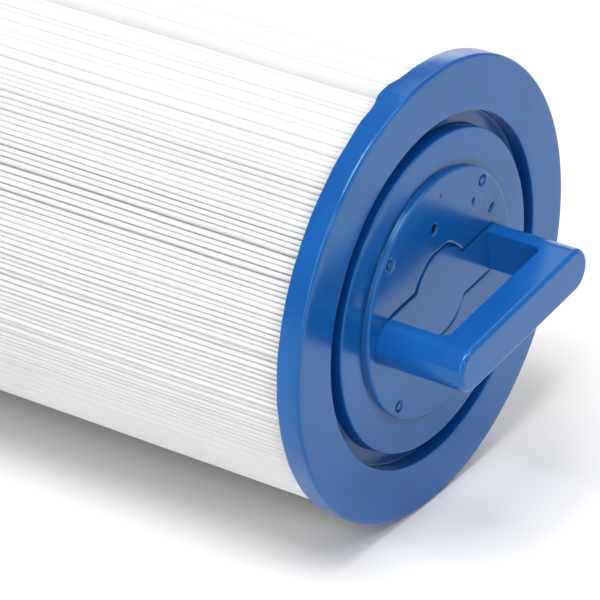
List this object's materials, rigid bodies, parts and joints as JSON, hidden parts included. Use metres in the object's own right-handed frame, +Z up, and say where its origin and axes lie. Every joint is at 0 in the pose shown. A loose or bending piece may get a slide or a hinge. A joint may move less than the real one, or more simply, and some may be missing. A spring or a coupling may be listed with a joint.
{
  "type": "filter cartridge",
  "caption": "Pleated pool or spa filter cartridge: blue cast end caps, white folded media round a windowed core, an open standpipe bore at one end and a rigid loop handle at the other.",
  "frame": {"origin": "on the cartridge's axis, in the outer face of the bottom end cap, at the mouth of the standpipe bore", "axes": "+X along the axis from the open bottom end to the handle; the cartridge lies on its side, with +Z up"},
  "size_m": [0.283, 0.134, 0.134],
  "materials": {
    "cap_resin": "gloss",
    "handle_plastic": "gloss",
    "filter_cloth": "matte",
    "seam_strip": "matte",
    "core_plastic": "satin"
  },
  "bodies": {
    "root": {"top_end_cap": "cap_resin", "bottom_end_cap": "cap_resin", "handle": "handle_plastic", "pleated_media": "filter_cloth", "media_seam": "seam_strip", "core_tube": "core_plastic", "core_plug": "core_plastic"}
  },
  "joints": []
}
